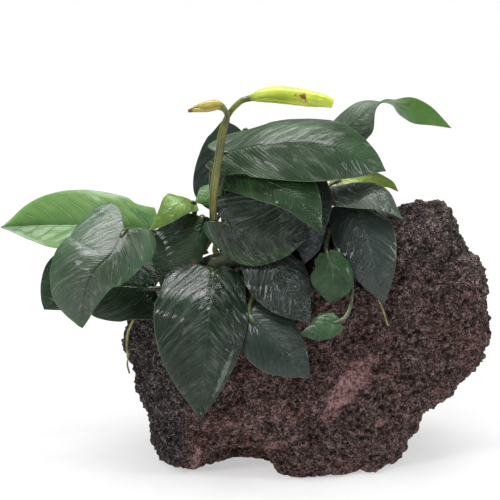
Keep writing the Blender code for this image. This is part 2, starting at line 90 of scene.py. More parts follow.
# Each leaf: spine from the petiole to the tip, the way its face looks at points spread along the
# spine, then for its left and right side twice the half width, basal lobe, fold, curl in degrees
# and half outline, then where its petiole leaves the stem (share along, degrees round from the
# top towards the front) with how far it bows out.
LEAVES = {
    "leaf_far_left": dict(
        LEAF, spine=((-41, -4, 99), (-63, 0, 100), (-84, 2, 100), (-104, -2, 100)),
        faces=((0, -0.9, 0.42),), width=(34, 32), fold=(-35, 5), curl=(-20, 10), shape=("oval", "oval"),
        petiole=(0.03, -65, 4)),
    "leaf_heart_left": dict(
        LEAF, spine=((-51, -28, 104), (-55, -39, 98), (-62, -44, 92), (-66, -43, 81), (-67, -40, 68)),
        faces=((0.3, -0.38, 0.87), (0, -0.9, 0.4), (-0.1, -1, 0.1)), width=(29, 42), lobe=(9, 15),
        fold=(5, 10), curl=(20, 25), shape=("lobed", "heart"), petiole=(0.0, -34, 4)),
    "leaf_low_left": dict(
        LEAF, spine=((-40, -18, 78), (-53, -20, 80), (-69, -20, 80), (-85, -18, 69)),
        faces=((0.1, -0.8, 0.55),), width=(30, 42), lobe=(3, 3), fold=(10, 10), curl=(15, 15),
        shape=("ovate", "blunt"), petiole=(0.04, 100, 3)),
    "leaf_wet_left": dict(
        LEAF, spine=((-19.5, -14, 107), (-22, -19.5, 98), (-27, -23, 87), (-35, -24, 76)),
        faces=((0, -0.9, 0.35),), width=(9.5, 37), lobe=(1, 1), fold=(10, 4), curl=(10, 8),
        shape=("ovate", "oval"), petiole=(0.15, 0, 3)),
    "leaf_front": dict(
        LEAF, spine=((-15, -28, 87), (-16, -42, 78), (-18, -48, 59), (-20, -48, 32)),
        faces=((0.1, -0.8, 0.55), (0, -0.98, 0.2)), width=(33, 45), lobe=(6, 6), petiole=(0.24, 85, 1)),
    "leaf_centre": dict(
        LEAF, spine=((-10, -22, 107), (0, -26, 103), (11, -28, 102), (23, -26, 101)),
        faces=((-0.6, -0.65, 0.5), (-0.2, -0.8, 0.6)), width=(42, 25), lobe=(8, 8),
        shape=("blunt", "ovate"), petiole=(0.38, 48, 2)),
    "leaf_upper_centre": dict(
        LEAF, spine=((-8, -12, 125), (5, -24, 125), (18, -33, 120), (29, -36, 105)),
        faces=((0.1, -0.75, 0.65), (0.2, -0.9, 0.35)), width=(30, 17), petiole=(0.38, -10, 2)),
    "leaf_top_large": dict(
        LEAF, spine=((-11, -14, 134), (8, -21, 139), (34, -22, 138), (55, -16, 127)),
        faces=((0, -0.6, 0.8),), width=(42, 32), lobe=(8, 8), fold=(10, 12), curl=(15, 15),
        shape=("blunt", "oval"), petiole=(0.34, -38, 3)),
    "leaf_back_left": dict(
        LEAF, spine=((-3, 8, 138), (-7, 10, 130), (-11, 9, 116), (-13, 6, 104)), faces=((0, -0.95, 0.3),),
        width=(26, 28), lobe=(1, 1), shape=("blunt", "blunt"), petiole=(0.33, -90, 5)),
    "leaf_twisted_right": dict(
        LEAF,
        spine=((37, 14, 133), (45, 12, 143), (55, 9, 151.5), (63, 6, 150.8), (72, 2, 148), (82.7, -2, 142)),
        faces=((-0.35, -0.75, 0.55), (-0.2, -0.5, 0.8), (100, 260, 970), (350, 800, 400),
        (350, 850, 300)), width=(24, 21), curl=(10, 10), petiole=(0.8, -60, 4)),
    "leaf_flat_right": dict(
        LEAF, spine=((29, -8, 117), (41, -16, 120), (53, -20, 118), (62, -20, 108)),
        faces=((0, -0.3, 0.95), (0.3, -0.6, 0.75)), width=(16, 22), lobe=(3, 3), petiole=(0.84, -15, 2)),
    "leaf_yellow_right": dict(
        LEAF, spine=((36, 4, 118), (47, 6, 120), (57, 6, 118), (62, 4, 114)), faces=((0, -0.4, 0.9),),
        width=(14, 14), lobe=(3, 3), petiole=(0.9, -50, 2)),
    "leaf_right": dict(
        LEAF, spine=((42, -14, 113), (46, -26, 104), (50, -32, 92), (54, -32, 75)),
        faces=((0.1, -0.85, 0.5), (0.1, -1, 0.1)), width=(26, 26), petiole=(0.96, 20, 2)),
    "leaf_small_round": dict(
        LEAF, spine=((31, -32, 96), (33, -36, 91), (33, -38, 84), (32, -37, 77)), faces=((0.1, -0.9, 0.4),),
        width=(18, 18), shape=("oval", "oval"), petiole=(0.92, 85, 2)),
    "leaf_small_curled": dict(
        LEAF, spine=((35, -44, 72), (30, -46, 71), (25, -47, 69), (20, -47, 68)), faces=((0, -0.8, 0.6),),
        width=(11, 11), lobe=(1, 1), petiole=(0.97, 108, 5)),
    "leaf_wet_centre": dict(
        LEAF, spine=((8, -23, 95), (12, -32, 90), (18, -39, 80), (24, -43, 71)),
        faces=((0.2, -0.8, 0.6), (0.1, -0.95, 0.3)), width=(22, 30), petiole=(0.54, 70, 1)),
    "leaf_low_centre": dict(
        LEAF, spine=((1, -39, 71), (7, -43, 67), (15, -47, 59), (24, -47, 49)),
        faces=((-0.1, -0.85, 0.5), (0, -0.98, 0.2)), width=(22, 27), lobe=(4, 4), petiole=(0.6, 108, 1)),
    "leaf_young_left": dict(
        LEAF, spine=((-23.5, -11, 112.5), (-28, -18, 114), (-34, -20, 110), (-41, -16, 102)),
        faces=((0, -0.7, 0.7),), width=(10, 16), lobe=(1, 1), petiole=(0.08, -35, 3)),
    "leaf_shaded_right": dict(
        LEAF, spine=((28, -19, 106), (26, -22, 102), (24, -24, 96), (22, -24, 90)), faces=((0, -0.8, 0.6),),
        width=(9, 16), lobe=(1, 2), petiole=(0.72, 50, 1)),
    "leaf_young_centre": dict(
        LEAF, spine=((-12, 1, 112), (-16, -1, 114), (-19, -3, 113), (-23, -4, 111)),
        faces=((0, -0.8, 0.6),), width=(10, 11), lobe=(1, 1), petiole=(0.15, -60, 2)),
    "leaf_shaded_centre": dict(
        LEAF, spine=((9, 0, 109), (2, -3, 115), (-4, -5, 120), (-11, -6, 121)), faces=((0, -0.8, 0.6),),
        width=(26, 26), lobe=(3, 3), petiole=(0.62, -30, 2)),
    "leaf_narrow_right": dict(
        LEAF, spine=((25, -15, 123), (26, -19, 118), (28, -23, 113), (31, -27, 107)),
        faces=((-0.3, -0.8, 0.5),), width=(14, 14), petiole=(0.74, -20, 2)),
}


def unit(vectors):
    vectors = np.asarray(vectors, float)
    return vectors / np.maximum(np.linalg.norm(vectors, axis=-1, keepdims=True), 1e-9)


def smooth(points, share):
    """The Catmull-Rom curve through the points, at each share 0 to 1 of the way."""
    points = np.asarray(points, float)
    last = len(points) - 1
    ends = np.vstack([2 * points[0] - points[1], points, 2 * points[-1] - points[-2]])
    place = np.clip(np.atleast_1d(share), 0, 1) * last
    index = np.minimum(place.astype(int), last - 1)
    part = (place - index)[:, None]
    a, b, c, d = ends[index], ends[index + 1], ends[index + 2], ends[index + 3]
    square = 2 * a - 5 * b + 4 * c - d
    cube = 3 * b - a - 3 * c + d
    return 0.5 * (2 * b + (c - a) * part + square * part ** 2 + cube * part ** 3)


def in_scene(name, data):
    obj = bpy.data.objects.new(name, data)
    bpy.context.scene.collection.objects.link(obj)
    return obj


def keep_values(mesh, table):
    """Stores lists of one value per point under their labels."""
    for label, values in table.items():
        layer = mesh.attributes.new(label, "FLOAT", "POINT")
        layer.data.foreach_set("value", np.asarray(values, np.float32))
    mesh.polygons.foreach_set("use_smooth", np.ones(len(mesh.polygons), bool))
    mesh.update()


def mesh_object(name, points, faces, maps=None, attributes=None):
    """An object from points in millimetres; maps are per-point (u, v), attributes per-point values."""
    mesh = bpy.data.meshes.new(name)
    mesh.from_pydata((np.asarray(points) * MM).tolist(), [], faces)
    if maps is not None:
        layer = mesh.uv_layers.new(name="leaf")
        corners = np.empty(len(mesh.loops), np.int32)
        mesh.loops.foreach_get("vertex_index", corners)
        layer.data.foreach_set("uv", np.asarray(maps, np.float32)[corners].ravel())
    keep_values(mesh, attributes or {})
    return in_scene(name, mesh)


def adopt(obj, node, material):
    """Puts a finished piece in the frame in place of its CAD node."""
    obj.data.materials.append(material)
    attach(obj, "root")
    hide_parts(node)


# --- Leaf shape ---


class Blade:
    """The midrib, width and bending of one leaf blade."""

    def __init__(self, leaf):
        self.points = smooth(leaf["spine"], np.linspace(0, 1, 121))
        steps = np.linalg.norm(np.diff(self.points, axis=0), axis=1)
        self.run = np.concatenate([[0], np.cumsum(steps)])
        self.length = self.run[-1]
        self.along = unit(np.gradient(self.points, axis=0))
        self.faces = unit(leaf["faces"])
        self.half = np.array(leaf["width"], float) / 2
        self.lobe = np.array(leaf["lobe"], float)
        self.fold = np.radians(leaf["fold"])
        self.curl = np.radians(leaf["curl"])
        self.outlines = [OUTLINES[name] for name in leaf["shape"]]

    def frame(self, run):
        shape = run.shape
        run = run.ravel()
        inside = np.clip(run, 0, self.length)
        point = np.stack([np.interp(inside, self.run, self.points[:, k]) for k in range(3)], -1)
        along = np.stack([np.interp(inside, self.run, self.along[:, k]) for k in range(3)], -1)
        along = unit(along)
        point = point + along * np.minimum(run, 0)[:, None]
        if len(self.faces) > 1:
            face = smooth(self.faces, inside / self.length)
        else:
            face = np.repeat(self.faces, len(run), 0)
        face = unit(face - (face * along).sum(-1, keepdims=True) * along)
        right = np.cross(along, face)
        return [part.reshape(shape + (3,)) for part in (point, along, face, right)]

    def surface(self, rows, columns):
        """Points, outward normals, distance along and signed distance across for a fine grid."""
        lean = np.linspace(-1, 1, 2 * columns + 1)
        across = np.sign(lean) * (1 - (1 - np.abs(lean)) ** 1.25)
        share = np.linspace(0, 1, rows + 1)
        run = np.zeros((rows + 1, len(across)))
        wide = np.zeros((rows + 1, len(across)))
        for side, chosen in ((0, across <= 0), (1, across > 0)):
            margin = smooth(self.outlines[side], share)
            reach = np.where(margin[:, 0] < 0, self.lobe[side], self.length) * margin[:, 0]
            start = np.clip(reach - VEIN_SWEEP * self.length * margin[:, 1], 0, None)
            bend = np.abs(across[chosen])[None, :] ** 1.25
            run[:, chosen] = start[:, None] + (reach - start)[:, None] * bend
            wide[:, chosen] = margin[:, 1:2] * across[chosen][None, :] * self.half[side]
        side = (wide > 0).astype(int)
        fold = self.fold[side]
        bend = np.where(np.abs(self.curl) < 0.001, 0.001, self.curl)[side] / self.half[side]
        out = np.abs(wide)
        flat = (np.sin(fold + bend * out) - np.sin(fold)) / bend
        drop = (np.cos(fold) - np.cos(fold + bend * out)) / bend
        point, _, face, right = self.frame(run)
        sign = np.sign(wide)[..., None]
        turn = (fold + bend * out)[..., None]
        place = point + right * sign * flat[..., None] - face * drop[..., None]
        normal = unit(face * np.cos(turn) + right * sign * np.sin(turn))
        return place, normal, share, across, run, wide


def rhizome_frame(share):
    point = smooth(RHIZOME_PATH, share)[0]
    ahead = smooth(RHIZOME_PATH, min(share + 0.02, 1.0))[0]
    behind = smooth(RHIZOME_PATH, max(share - 0.02, 0.0))[0]
    return point, unit(ahead - behind)


def rhizome_radius(share):
    taper = min(1.0, 0.55 + 4.0 * share, 0.62 + 2.2 * (1.0 - share))
    return RHIZOME_RADIUS * taper


def leave_rhizome(share, turn):
    centre, along = rhizome_frame(share)
    up = unit(np.array((0.0, 0.0, 1.0)) - along * along[2])
    front = np.cross(along, up)
    turn = math.radians(turn)
    way = math.cos(turn) * up + math.sin(turn) * front
    return centre + way * (rhizome_radius(share) + GAP + 0.1), way


def petiole_path(leaf, blade, count):
    """A fine curve from the creeping stem's skin to just inside the blade's base."""
    share, turn, bow = leaf["petiole"]
    start, way = leave_rhizome(share, turn)
    base = blade.points[0]
    reach = np.linalg.norm(base - start)
    before = start + way * (0.25 * reach + bow * min(1.0, reach / 20))
    after = base - blade.along[0] * (0.22 * reach + 1.5) - blade.frame(np.zeros(1))[2][0] * 0.06 * reach
    steps = np.linspace(0, 1, max(4, min(8, round(reach / 4.0))))[:, None] ** 0.85
    curve = (
        (1 - steps) ** 3 * start
        + 3 * steps * (1 - steps) ** 2 * before
        + 3 * steps ** 2 * (1 - steps) * after
        + steps ** 3 * base
    )
    inside = blade.frame(np.array([2.2]))
    end = inside[0][0] - inside[2][0] * 0.3
    coarse = np.vstack([curve[:1], start + way * 1.2, curve[1:], end])
    return smooth(coarse, np.linspace(0, 1, count))


def ring_mesh(path, radius, sides, seed, ripple):
    """Points, faces and (along, round) maps of a tube; radius(share, turn) gives its skin."""
    along = unit(np.gradient(path, axis=0))
    side = unit(np.cross(along[0], (0.31, 0.93, 0.17)))
    points, maps, faces = [], [], []
    for index, (centre, ahead) in enumerate(zip(path, along)):
        side = unit(side - ahead * side.dot(ahead))
        over = np.cross(ahead, side)
        share = index / (len(path) - 1)
        for step in range(sides):
            turn = 2 * math.pi * step / sides
            out = radius(share, turn)
            spot = Vector((centre[0] / 3.1 + seed, centre[2] / 3.1 + math.cos(turn), math.sin(turn)))
            out += ripple * noise.noise(spot)
            points.append(centre + out * (math.cos(turn) * side + math.sin(turn) * over))
            maps.append((share, step / sides))
    for ring in range(len(path) - 1):
        for step in range(sides):
            after = (step + 1) % sides
            a, b = ring * sides + step, ring * sides + after
            faces.append((a, b, b + sides, a + sides))
    first, last = len(points), len(points) + 1
    points += [path[0] - along[0] * 0.15, path[-1] + along[-1] * 0.15]
    maps += [(0.0, 0.5), (1.0, 0.5)]
    top = (len(path) - 1) * sides
    for step in range(sides):
        after = (step + 1) % sides
        faces.append((first, after, step))
        faces.append((last, top + step, top + after))
    return points, faces, maps


def tube_piece(name, node, slot, material, *tube):
    """A visible tube made by ring_mesh that stands for its CAD node."""
    points, faces, maps = ring_mesh(*tube)
    obj = mesh_object(name, points, faces, maps)
    tidy(obj)
    adopt(obj, node, material)


def leaf_points(name, leaf, seed):
    """One closed fine blade: veins pressed in, ribs between them raised, margin thin and wavy."""
    blade = Blade(leaf)
    small = blade.length < 25
    rows, columns = (64, 12) if small else (128, 22)
    place, normal, share, across, run, wide = blade.surface(rows, columns)
    look = LOOKS[name]
    veins = look.get("veins", 9)
    out = np.abs(wide)
    sweep = 0.75 * out + 0.6 * out ** 2 / blade.half.max()
    phase = (run - sweep) / blade.length + 0.35
    relief = 1.7 * look.get("relief", 0.16)
    edge = np.abs(across)[None, :]
    tone = share[:, None] * np.ones_like(edge)
    width = np.abs(wide).max(axis=1, keepdims=True)
    inner = np.clip(width / 4.0, 0, 1)
    wander = np.array([[noise.noise(Vector((p[0], p[1], p[2])) / 7.0 + Vector((seed, 0, 0)))
                        for p in row] for row in place])
    pillow = np.abs(np.sin(math.pi * (phase * veins + 0.25 * wander))) ** 0.7
    rib = np.exp(-(np.abs(wide) / 0.9) ** 2)
    height = relief * (pillow - 0.55) * np.clip(edge * 3.0, 0, 1) * np.clip((1 - edge) * 3, 0, 1)
    height = (height - 0.22 * rib + 0.28 * wander * np.clip(edge * 2, 0, 1)) * inner
    wave = np.sin(tone * 2 * math.pi * look.get("waves", 2.3) + seed * 1.7 + across[None, :] * 1.5)
    height = height + look.get("wave", 0.35) * wave * edge ** 3 * inner
    thick = 0.28 * np.sqrt(np.clip(1 - edge ** 6, 0.06, 1)) * np.ones_like(tone)
    under_rib = 0.3 * np.exp(-(np.abs(wide) / 0.8) ** 2) * np.clip(1.1 - tone, 0, 1)
    top = place + normal * (height + thick)[..., None]
    low = place + normal * (height - thick - under_rib)[..., None]
    count = len(across)
    points = np.concatenate([top.reshape(-1, 3), low.reshape(-1, 3)])
    u, v = np.meshgrid(share, (across + 1) / 2, indexing="ij")
    flat = np.stack([u.ravel(), v.ravel()], -1)
    maps = np.concatenate([flat, flat])
    phases = np.concatenate([phase.ravel(), phase.ravel()])
    faces = []
    offset = (rows + 1) * count
    for row in range(rows):
        for step in range(count - 1):
            a = row * count + step
            faces.append((a, a + 1, a + 1 + count, a + count))
            faces.append((offset + a, offset + a + count, offset + a + 1 + count, offset + a + 1))
    for row in range(rows):
        for edge_step, flip in ((0, False), (count - 1, True)):
            a = row * count + edge_step
            quad = (a, a + count, offset + a + count, offset + a)
            faces.append(quad[::-1] if flip else quad)
    return blade, points, faces, maps, phases, offset


def tidy(obj):
    bm = bmesh.new()
    bm.from_mesh(obj.data)
    bmesh.ops.remove_doubles(bm, verts=bm.verts, dist=0.012 * MM)
    bmesh.ops.dissolve_degenerate(bm, edges=bm.edges, dist=0.004 * MM)
    bmesh.ops.recalc_face_normals(bm, faces=bm.faces)
    for face in bm.faces:
        face.smooth = True
    bm.to_mesh(obj.data)
    bm.free()


def build_leaf(name, leaf, seed):
    blade, points, faces, maps, phases, offset = leaf_points(name, leaf, seed)
    under = np.zeros(len(points))
    under[offset:] = 1.0
    obj = mesh_object(name + "_blade", points, faces, maps, {"under": under, "phase": phases})
    tidy(obj)
    adopt(obj, name, leaf_material(name, LOOKS[name], seed))
    path = petiole_path(leaf, blade, 40)
    base = PETIOLE_RADIUS * (0.75 if blade.length < 25 else 1.0)

    def radius(share, turn):
        sheath = 0.22 * max(0.0, 1 - share * 5)
        groove_and_shade = 0.16 * max(0.0, math.cos(turn)) ** 4
        return base * (1.0 + sheath - groove_and_shade) * (1.0 - 0.28 * max(0.0, share - 0.85) / 0.15)

    tube_piece(name + "_petiole", name, SLOT_OF[name], STALK, path, radius, 14, seed, 0.07)


# --- Materials ---


class Nodes:
    """Short ways to add shader nodes to a material."""

    def __init__(self, name):
        self.material = bpy.data.materials.new(name)
        self.material.use_nodes = True
        self.tree = self.material.node_tree
        self.shader = self.tree.nodes["Principled BSDF"]

    def add(self, kind, **settings):
        node = self.tree.nodes.new("ShaderNode" + kind)
        for key, value in settings.items():
            setattr(node, key, value)
        return node

    def link(self, source, socket):
        if hasattr(source, "is_output"):
            self.tree.links.new(source, socket)
        else:
            socket.default_value = source

    def math(self, operation, a, b=0.0):
        node = self.add("Math", operation=operation)
        self.link(a, node.inputs[0])
        self.link(b, node.inputs[1])
        return node.outputs[0]

    def times(self, a, b):
        return self.math("MULTIPLY", a, b)

    def plus(self, a, b):
        return self.math("ADD", a, b)

    def minus(self, a, b):
        return self.math("SUBTRACT", a, b)

    def rest(self, part):
        return self.math("SUBTRACT", 1.0, part)

    def tint(self, colour, mask, strength, other):
        """Another colour laid over this one where the mask is high."""
        return self.mix(self.times(mask, strength), colour, other)

    def parts(self, vector):
        node = self.add("SeparateXYZ")
        self.link(vector, node.inputs[0])
        return node.outputs

    def shares(self):
        """How far along and how far across or round the piece a spot is, 0 to 1."""
        return self.parts(self.add("UVMap", uv_map="leaf").outputs[0])[:2]

    def round_map(self, along, stretch, over, spread):
        """Coordinates that run round a stem without a seam."""
        turn = self.times(over, 2 * math.pi)
        across = [self.times(self.math(wave, turn), spread) for wave in ("COSINE", "SINE")]
        return self.vector(self.times(along, stretch), *across)

    def span(self, value, low, high, to_low=0.0, to_high=1.0):
        """A soft step from one value to the other between low and high."""
        node = self.add("MapRange", interpolation_type="SMOOTHSTEP")
        for index, part in enumerate((value, low, high, to_low, to_high)):
            self.link(part, node.inputs[index])
        return node.outputs[0]

    def mix(self, share, first, second):
        """Two colours mixed; a plain one is red, green and blue in thousandths."""
        node = self.add("Mix", data_type="RGBA")
        self.link(share, node.inputs["Factor"])
        for part, socket in ((first, node.inputs[6]), (second, node.inputs[7])):
            plain = not hasattr(part, "is_output")
            self.link([level / 1000 for level in part] + [1.0] if plain else part, socket)
        return node.outputs[2]

    def noise(self, where, scale, detail=3.0, rough=0.55, distort=0.0):
        node = self.add("TexNoise")
        self.link(where, node.inputs["Vector"])
        node.inputs["Scale"].default_value = scale
        node.inputs["Detail"].default_value = detail
        node.inputs["Roughness"].default_value = rough
        node.inputs["Distortion"].default_value = distort
        return node.outputs[0]

    def cells(self, where, scale, feature="F1", smoothness=None):
        node = self.add("TexVoronoi", feature=feature)
        self.link(where, node.inputs["Vector"])
        node.inputs["Scale"].default_value = scale
        if smoothness is not None:
            node.inputs["Smoothness"].default_value = smoothness
        return node

    def vector(self, x, y, z=0.0):
        node = self.add("CombineXYZ")
        for part, socket in zip((x, y, z), node.inputs):
            self.link(part, socket)
        return node.outputs[0]

    def object_place(self):
        return self.add("TexCoord").outputs["Object"]

    def attribute(self, name):
        return self.add("Attribute", attribute_name=name).outputs["Fac"]

    def bump(self, height, strength, distance, normal=None):
        node = self.add("Bump")
        node.inputs["Strength"].default_value = strength
        node.inputs["Distance"].default_value = distance
        self.link(height, node.inputs["Height"])
        if normal is not None:
            self.link(normal, node.inputs["Normal"])
        return node.outputs[0]

    def glow(self, weight, radius, scale):
        """Light that passes through a thin bright skin."""
        for label, value in (("Weight", weight), ("Radius", radius), ("Scale", scale)):
            self.shader.inputs["Subsurface " + label].default_value = value

    def finish(self, colour, roughness, normal, **constants):
        self.link(colour, self.shader.inputs["Base Color"])
        self.link(roughness, self.shader.inputs["Roughness"])
        self.link(normal, self.shader.inputs["Normal"])
        for label, value in constants.items():
            self.shader.inputs[label.replace("_", " ")].default_value = value
        return self.material


def leaf_material(name, look, seed):
    """Leaf skin: tone along and across the blade, veins, rim, wet streaks and small beads of water in the
    bump, with painted highlight streaks, painted shade lines and small painted glints in the colour.
    """
    n = Nodes(name)
    place = n.object_place()
    along, over = n.shares()
    lean = n.minus(n.times(over, 2.0), 1.0)
    edge = n.math("ABSOLUTE", lean)
    under = n.attribute("under")

    shift = n.add("VectorMath", operation="ADD")
    n.link(place, shift.inputs[0])
    shift.inputs[1].default_value = (seed * 0.137, seed * 0.071, seed * 0.053)
    here = shift.outputs[0]
    broad = n.noise(here, 55, 3, 0.6)
    fine = n.noise(here, 420, 4, 0.65)
    warp = n.noise(here, 160, 2, 0.5)

    def oval(centre, size, wander, ragged):
        """0 at the middle of an oval patch, about 1 at its ragged edge."""
        squares = [
            n.math("POWER", n.math("DIVIDE", n.minus(way, middle), half), 2.0)
            for way, middle, half in zip((along, lean), centre, size)
        ]
        return n.plus(n.plus(*squares), n.times(n.minus(wander, 0.5), ragged))

    # Lateral veins sweep out from the midrib towards the tip; streaks run between them, as painted highlight
    # and painted shade in the colour and as ridges in the bump.
    count = look.get("veins", 9)
    swept = n.attribute("phase")
    phase = n.plus(n.times(swept, count), n.times(warp, 0.5))
    wave = n.math("ABSOLUTE", n.math("SINE", n.times(phase, math.pi)))
    vein = n.span(wave, 0.0, 0.16, 1.0, 0.0)
    vein = n.times(vein, n.span(edge, 0.92, 0.6))
    small_phase = n.plus(n.times(swept, count * 5), n.times(warp, 1.6))
    small = n.math("ABSOLUTE", n.math("SINE", n.times(small_phase, math.pi)))
    rib = n.span(edge, 0.0, 0.045, 1.0, 0.0)
    grain = look.get("grain", 1.0)
    stripes = n.vector(n.times(swept, 58.0 * grain), n.times(lean, 2.6), seed * 3.1)
    streak = n.noise(stripes, 1.0, 3, 0.65, 0.3)
    broad_stripes = n.vector(n.times(swept, 9.0 * grain), n.times(lean, 1.6), seed * 1.7)
    band = n.noise(broad_stripes, 1.0, 3, 0.6, 0.4)

    colour = n.mix(n.span(broad, 0.34, 0.66), look["dark"], look["colour"])
    for low, high, tint in look.get("along", ()):
        colour = n.mix(n.span(n.plus(along, n.times(broad, 0.1)), low, high), colour, tint)
    for low, high, tint in look.get("across", ()):
        colour = n.mix(n.span(n.plus(lean, n.times(warp, 0.15)), low, high), colour, tint)
    colour = n.tint(colour, n.span(fine, 0.45, 0.75), 0.35, look["dark"])
    colour = n.tint(colour, vein, look.get("vein", 0.35), look.get("vein_colour", look["colour"]))
    lines = n.times(n.span(small, 0.25, 0.0), look.get("lines", 0.12))
    colour = n.mix(lines, colour, look["dark"])
    colour = n.tint(colour, rib, look.get("rib", 0.55), look.get("rib_colour", look["colour"]))
    # Painted shade: dark lines between the painted highlight streaks.
    groove_and_shade = n.times(n.span(streak, 0.46, 0.34), look.get("groove_and_shade", 0.55))
    colour = n.mix(groove_and_shade, colour, look["dark"])
    # Painted highlight: pale streaks stand in for the lights' reflection on the glossy skin.
    painted_sheen_mask = n.times(n.span(streak, 0.5, 0.66), n.span(band, 0.42, 0.58))
    colour = n.tint(colour, painted_sheen_mask, look.get("painted_sheen", 0.3), look.get("painted_sheen_colour", (300, 340, 330)))
    specks = n.cells(here, 330).outputs["Distance"]
    speck = n.times(n.span(specks, 0.16, 0.08), n.span(n.noise(here, 90, 2), 0.56, 0.66))
    colour = n.tint(colour, speck, look.get("specks", 0.25), look.get("speck_colour", (12, 18, 8)))
    for centre, size, tint in look.get("spots", ()):
        away = oval(centre, size, fine, 2.4)
        colour = n.tint(colour, n.span(away, 1.0, 0.35), 0.85, tint)
    rim = n.times(n.span(edge, 0.968, 0.995), look.get("rim", 0.6))
    colour = n.mix(rim, colour, look.get("rim_colour", (160, 260, 90)))
    below = look.get("below", [part * 1.6 + 10 for part in look["colour"]])
    colour = n.tint(colour, under, 0.8, below)

    # Wet patches: smoother skin with beads and streaks of water on them in the bump, and small painted glints
    # in the colour.
    wet_level = look.get("wet", 0.4)
    film = n.span(n.noise(here, 48, 2, 0.5), 0.68 - 0.34 * wet_level, 0.78 - 0.34 * wet_level)
    for centre, size in look.get("wet_spots", ()):
        film = n.math("MAXIMUM", film, n.span(oval(centre, size, warp, 1.2), 1.1, 0.5))
    film = n.times(film, n.rest(under))
    stretched = n.vector(n.times(swept, 36.0 * grain), n.times(lean, 5.0), seed * 2.3)
    drops = n.cells(stretched, 1.3, "SMOOTH_F1", 0.35).outputs["Distance"]
    bead = n.span(drops, 0.5, 0.1)
    ripple = n.noise(here, 560, 3, 0.7)
    water = n.plus(n.times(bead, 0.8), n.times(ripple, 0.9))
    water = n.times(water, film)
    # Painted glints: small pale highlights painted on the wet patches, where water would catch the lights.
    cluster = n.span(n.noise(here, 150, 2, 0.6), 0.48, 0.6)
    shine = n.span(n.noise(stretched, 1.5, 4, 0.8, 0.5), 0.57, 0.64)
    painted_sparkle = n.times(n.times(shine, cluster), film)
    colour = n.tint(colour, painted_sparkle, look.get("painted_sparkle", 0.35), (420, 480, 480))
    rough = n.span(fine, 0.3, 0.7, look.get("rough", 0.3) - 0.06, look.get("rough", 0.3) + 0.1)
    rough = n.plus(n.times(rough, n.rest(film)), n.times(film, 0.1))
    relief = n.times(small, 2.0 * look.get("lines", 0.12))
    relief = n.minus(relief, n.times(n.plus(vein, rib), 0.5))
    ribbed = n.times(streak, look.get("ribbed", 0.9))
    relief = n.plus(relief, n.plus(n.times(fine, 0.3), ribbed))
    normal = n.bump(relief, 0.8, 0.0004)
    normal = n.bump(water, 0.9, 0.0007, normal)
    if look.get("glow"):
        n.glow(look["glow"], (0.5, 1.0, 0.2), 0.003)
    return n.finish(
        colour, rough, normal, Coat_Weight=0.18, Coat_Roughness=0.07, Specular_IOR_Level=0.32
    )


def stalk_material(name, light, dark, rough=0.35, spot=(100, 50, 20)):
    """Stem skin: lengthwise grain, mottling and small scars."""
    n = Nodes(name)
    place = n.object_place()
    along, over = n.shares()
    grain = n.noise(n.round_map(along, 5.0, over, 2.5), 2.2, 4, 0.65)
    mottle = n.noise(place, 170, 3, 0.6)
    fine = n.noise(place, 900, 3, 0.6)
    colour = n.mix(n.span(mottle, 0.35, 0.65), dark, light)
    colour = n.tint(colour, n.span(grain, 0.5, 0.75), 0.5, dark)
    scar = n.span(n.cells(place, 260).outputs["Distance"], 0.12, 0.05, 0.0, 1.0)
    colour = n.tint(colour, scar, 0.45, spot)
    height = n.plus(n.times(grain, 0.8), n.times(fine, 0.3))
    skin = n.span(mottle, 0.3, 0.7, rough - 0.08, rough + 0.12)
    return n.finish(colour, skin, n.bump(height, 0.5, 0.0003), Coat_Weight=0.25, Coat_Roughness=0.12)


